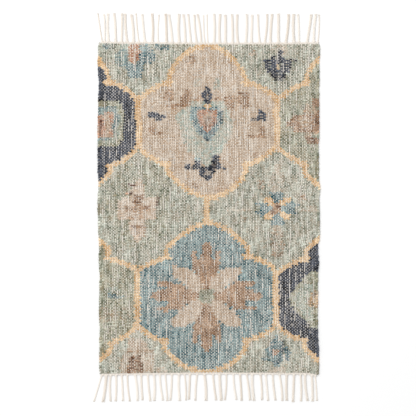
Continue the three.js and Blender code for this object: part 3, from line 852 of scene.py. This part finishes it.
HEADING_WIDTH = 5.2
HEADING_CORD = 2.7
HEADING_TWIST = 11
HEADING_STEPS = 200
FIRST_ROW = 0.52
ROW_STEP = 0.94
CORD_MIDDLE = 2.5
CORD_RISE = 1.15
CORD_SWAY = 0.5
CORD_FULLNESS = 0.86
CORD_FLATNESS = 0.9
CORD_TONE = 0.3
CORD_TONE_DRIFT = 0.3
ROOT_DEPTH = 3
BOW = 2
BOW_TURN = 2.3
PLIES = 3
PLY_SHARE = 0.5
PLY_OUT = 0.26
FLATTENED = 0.66
WOBBLE = 0.08
PLY_TWIST = 15
PLY_STEPS = 40
PLY_FLATNESS = 0.72
PLY_TONE = 0.35
# Painted shade along the twist of each ply
PLY_TWIST_SHADE = 0.25
PLY_TONE_NOISE = 0.05
BUNDLE_TONES = 0.22
FRAY_LENGTH = 9
FRAY_SPREAD = 0.7
FRAY_DROP = 0.35
FRAY_LEVELLING = 0.5
FRAY_THINNING = 0.25
KNOT_STEPS = 12
KNOT_TURNS = 1.6
KNOT_CORD = 2.2
KNOT_START = 0.8
KNOT_LENGTH = 1.6
KNOT_INSET = 0.1
KNOT_LIFT = 0.5
KNOT_SINK = 0.4
KNOT_TONE = 0.3
KNOT_CORNERS = 6
HAIRS = 5
HAIR_STEPS = 3
HAIR_WIDTH = 0.5
HAIR_TIP = 0.4
HAIR_SPREAD = 1.6
HAIR_REACH = (1, 5)
HAIR_LIFT = 0.5
HAIR_CURL = 0.8
HAIR_FLOOR = 0.3
HAIR_TONE = 0.2
HAIR_CORNERS = 3
FRINGE_COTTON = "#F5EFE7"
FRINGE_SHADE = "#E6DCD0"


def strand_route(strand, number, edge, outward, share):
    """The middle of a fringe strand on the floor, from its root in the heading to its tip."""
    bow = BOW * np.sin(number * BOW_TURN)
    root_x, tip_x = strand.root + PART_MIDDLE[0], strand.tip + PART_MIDDLE[0]
    root_y = np.interp(root_x, *edge) + outward * (HEADING_WIDTH - ROOT_DEPTH)
    x = root_x + (tip_x - root_x) * share + bow * np.sin(np.pi * share)
    return x, root_y + outward * (ROOT_DEPTH + strand.reach) * share


def fringe_piece(name, edge, outward, strands):
    """A fringe and its heading: plied strands with their knots and hairs, and four cords."""
    ply_share = np.linspace(0, 1, PLY_STEPS)
    ply_middles, ply_widths, ply_tones_and_shade, knots, hairs = [], [], [], [], []
    for number, strand in enumerate(strands):
        x, y = strand_route(strand, number, edge, outward, ply_share)
        gone = ply_share * strand.reach
        fray = np.clip((gone - strand.reach + FRAY_LENGTH) / FRAY_LENGTH, 0, 1)
        phase = rng.uniform(0, 2 * np.pi)
        lift = strand.width * FLATTENED / 2
        bundle = rng.normal(0, BUNDLE_TONES)
        for ply in range(PLIES):
            turn = phase + 2 * np.pi * (ply / PLIES + gone / PLY_TWIST)
            out = strand.width * PLY_OUT * (1 + FRAY_SPREAD * fray)
            middle = np.stack([
                x + out * np.cos(turn) * outward, y + 0 * x,
                lift * (1 - FRAY_DROP * fray)
                + out * FLATTENED * np.sin(turn) * (1 - FRAY_LEVELLING * fray)], axis=-1)
            wobble = 1 + drift(1, gone, (17, 9), WOBBLE)[0]
            size = strand.width * PLY_SHARE * wobble * (1 - FRAY_THINNING * fray)
            middle[:, 2] = np.maximum(middle[:, 2], size * PLY_FLATNESS / 2)
            ply_middles.append(middle)
            ply_widths.append(size)
            # A ply's tone: the bundle's own, a little noise, and painted shade that rises and
            # falls with the ply's place in the twist, darker where it lies higher
            ply_tones_and_shade.append(PLY_TONE + bundle + PLY_TWIST_SHADE * np.sin(turn)
                              + rng.normal(0, PLY_TONE_NOISE, PLY_STEPS))
            for _ in range(HAIRS):
                start = middle[-3]
                aim = np.array([
                    rng.normal(0, HAIR_SPREAD), outward * rng.uniform(*HAIR_REACH),
                    rng.normal(0, HAIR_LIFT)])
                bend = np.linspace(0, 1, HAIR_STEPS)[:, None]
                curl = np.array([rng.normal(0, HAIR_CURL), 0, 0])
                hair = start + aim * bend + curl * bend ** 2
                hair[:, 2] = np.maximum(hair[:, 2], HAIR_FLOOR)
                hairs.append(hair)
        wrap = np.linspace(0, 2 * np.pi * KNOT_TURNS, KNOT_STEPS)
        knot_y = y[0] + outward * (ROOT_DEPTH + KNOT_START + KNOT_LENGTH * wrap / wrap[-1])
        knot_x = np.interp(outward * knot_y, outward * y, x)
        round_it = strand.width / 2 - KNOT_INSET
        knots.append(np.stack([
            knot_x + round_it * np.cos(wrap), knot_y,
            lift + KNOT_LIFT + (lift - KNOT_SINK) * np.sin(wrap)], axis=-1))
    plies = np.array(ply_middles)
    level = np.array([outward * -1.0, 0, 0])
    rise = np.array([0, 0, 1.0])
    ply_sizes = np.array(ply_widths)
    ply_rings = rings_round(
        plies, np.broadcast_to(level, plies.shape), np.broadcast_to(rise, plies.shape),
        ply_sizes, ply_sizes * PLY_FLATNESS, YARN_CORNERS)
    cotton, shade = linear(FRINGE_COTTON), linear(FRINGE_SHADE)
    ply_colours = mixed(cotton, shade, np.clip(ply_tones_and_shade, 0, 1))

    knots = np.array(knots)
    along = np.gradient(knots, axis=1)
    along /= np.linalg.norm(along, axis=-1, keepdims=True)
    knot_wide = np.broadcast_to([0, 1.0, 0], knots.shape)
    knot_high = np.cross(along, knot_wide)
    knot_high /= np.linalg.norm(knot_high, axis=-1, keepdims=True)
    knot_size = np.full(knots.shape[:2], KNOT_CORD)
    knots[..., 2] = np.maximum(knots[..., 2], KNOT_CORD / 2)
    knot_rings = rings_round(
        knots, np.cross(knot_high, along), knot_high, knot_size, knot_size, KNOT_CORNERS)
    knot_colours = mixed(cotton, shade, np.full(knots.shape[:2], KNOT_TONE))

    hairs = np.array(hairs)
    hair_size = np.broadcast_to(HAIR_WIDTH * np.linspace(1, HAIR_TIP, HAIR_STEPS), hairs.shape[:2])
    hair_rings = rings_round(
        hairs, np.broadcast_to(level, hairs.shape), np.broadcast_to(rise, hairs.shape),
        hair_size, hair_size, HAIR_CORNERS)
    hair_colours = mixed(cotton, shade, np.full(hairs.shape[:2], HAIR_TONE))

    start = max(strands[0].root - strands[0].width + PART_MIDDLE[0], edge[0][0])
    stop = min(strands[-1].root + strands[-1].width + PART_MIDDLE[0], edge[0][-1])
    across = np.linspace(start, stop, HEADING_STEPS)
    cords = []
    for row in (0, 1):
        for ply in (0, 1):
            turn = 2 * np.pi * across / HEADING_TWIST * (1 if row else -1) + np.pi * ply
            line = np.interp(across, *edge) + outward * (
                PARTING_GAP + HEADING_CORD * (FIRST_ROW + ROW_STEP * row))
            cords.append(np.stack([
                across, line + CORD_SWAY * np.cos(turn),
                CORD_MIDDLE + CORD_RISE * np.sin(turn)], axis=-1))
    cords = np.array(cords)
    cord_wide = np.broadcast_to([0, 1.0, 0], cords.shape)
    cord_high = np.broadcast_to(rise, cords.shape)
    cord_size = HEADING_CORD * (CORD_FULLNESS + drift(len(cords), across, (19, 43), WOBBLE))
    cord_rings = rings_round(
        cords, cord_wide, cord_high, cord_size, cord_size * CORD_FLATNESS, YARN_CORNERS)
    cord_shades = CORD_TONE + drift(len(cords), across, (27, 61), CORD_TONE_DRIFT)
    cord_colours = mixed(cotton, shade, np.clip(cord_shades, 0, 1))

    piece = yarn_piece(name, [
        Yarns(ply_rings, ply_colours, PLY_STEPS - 1, 1),
        Yarns(cord_rings, cord_colours, HEADING_STEPS - 1, 2),
        Yarns(knot_rings, knot_colours, KNOT_STEPS - 1, 0.5),
        Yarns(hair_rings, hair_colours, HAIR_STEPS - 1, 0.06),
    ])
    piece.data.materials.append(fringe_cotton)
    return piece


# The same cotton as the warp, unpicked and worn soft at its ends
fringe_cotton = spun_yarn(
    "spun_cotton_fringe", fibre=(0.35, 4, 0.35), relief=0.14, contrast=0.06, roughness=0.9,
    sheen=0.12)
far_fringe = fringe_piece("far_fringe", far_edge, 1, FAR_STRANDS)
near_fringe = fringe_piece("near_fringe", near_edge, -1, NEAR_STRANDS)
for fringe, solid in ((far_fringe, "fringe_far"), (near_fringe, "fringe_near")):
    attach(fringe, "root")
    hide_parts(solid)

# The floor: plain and pale, far wider than the rug
FLOOR_HALF = 12.0
FLOOR_COLOUR = "#F6F6F6"
floor_shape = bmesh.new()
bmesh.ops.create_grid(floor_shape, x_segments=1, y_segments=1, size=FLOOR_HALF)
floor_mesh = bpy.data.meshes.new("floor")
floor_shape.to_mesh(floor_mesh)
floor_shape.free()
floor = bpy.data.objects.new("floor", floor_mesh)
bpy.context.collection.objects.link(floor)
painted = bpy.data.materials.new("matt_white_floor")
painted.use_nodes = True
painted.node_tree.nodes.clear()
matt = node(painted, "ShaderNodeBsdfDiffuse", {"Color": (*linear(FLOOR_COLOUR), 1)}, {})
node(painted, "ShaderNodeOutputMaterial", {}, {"Surface": (matt, "BSDF")})
floor_mesh.materials.append(painted)

# The light: a big soft box high over the far left, and an even white room
LAMP_PLACE = (-2.2, 1.9, 4.4)
LAMP_SIZE = 2.6
LAMP_POWER = 125
ROOM_STRENGTH = 0.8
lamp = bpy.data.objects.new("soft_box", bpy.data.lights.new("soft_box", "AREA"))
lamp.data.size = LAMP_SIZE
lamp.data.energy = LAMP_POWER
lamp.location = LAMP_PLACE
lamp.rotation_mode = "QUATERNION"
lamp.rotation_quaternion = lamp.location.to_track_quat("Z", "Y")
bpy.context.collection.objects.link(lamp)
room = bpy.data.worlds.new("white_room")
room.use_nodes = True
room.node_tree.nodes["Background"].inputs["Color"].default_value = (1, 1, 1, 1)
room.node_tree.nodes["Background"].inputs["Strength"].default_value = ROOM_STRENGTH
bpy.context.scene.world = room
bpy.context.scene.view_settings.view_transform = "Standard"

# The camera: straight above with a long lens, as the rug was photographed
CAMERA_HEIGHT = 6.0
VIEW_WIDTH = 1.142
VIEW_SHIFT = (-1.4, 1.4)
SENSOR = 36.0
camera = bpy.data.objects.new("camera", bpy.data.cameras.new("camera"))
camera.data.sensor_width = SENSOR
camera.data.lens = SENSOR * CAMERA_HEIGHT / VIEW_WIDTH
camera.data.clip_end = 100
camera.location = (
    (PART_MIDDLE[0] + VIEW_SHIFT[0]) * MM, (PART_MIDDLE[1] + VIEW_SHIFT[1]) * MM,
    CAMERA_HEIGHT + CLOTH_THICKNESS * MM)
bpy.context.collection.objects.link(camera)
bpy.context.scene.camera = camera
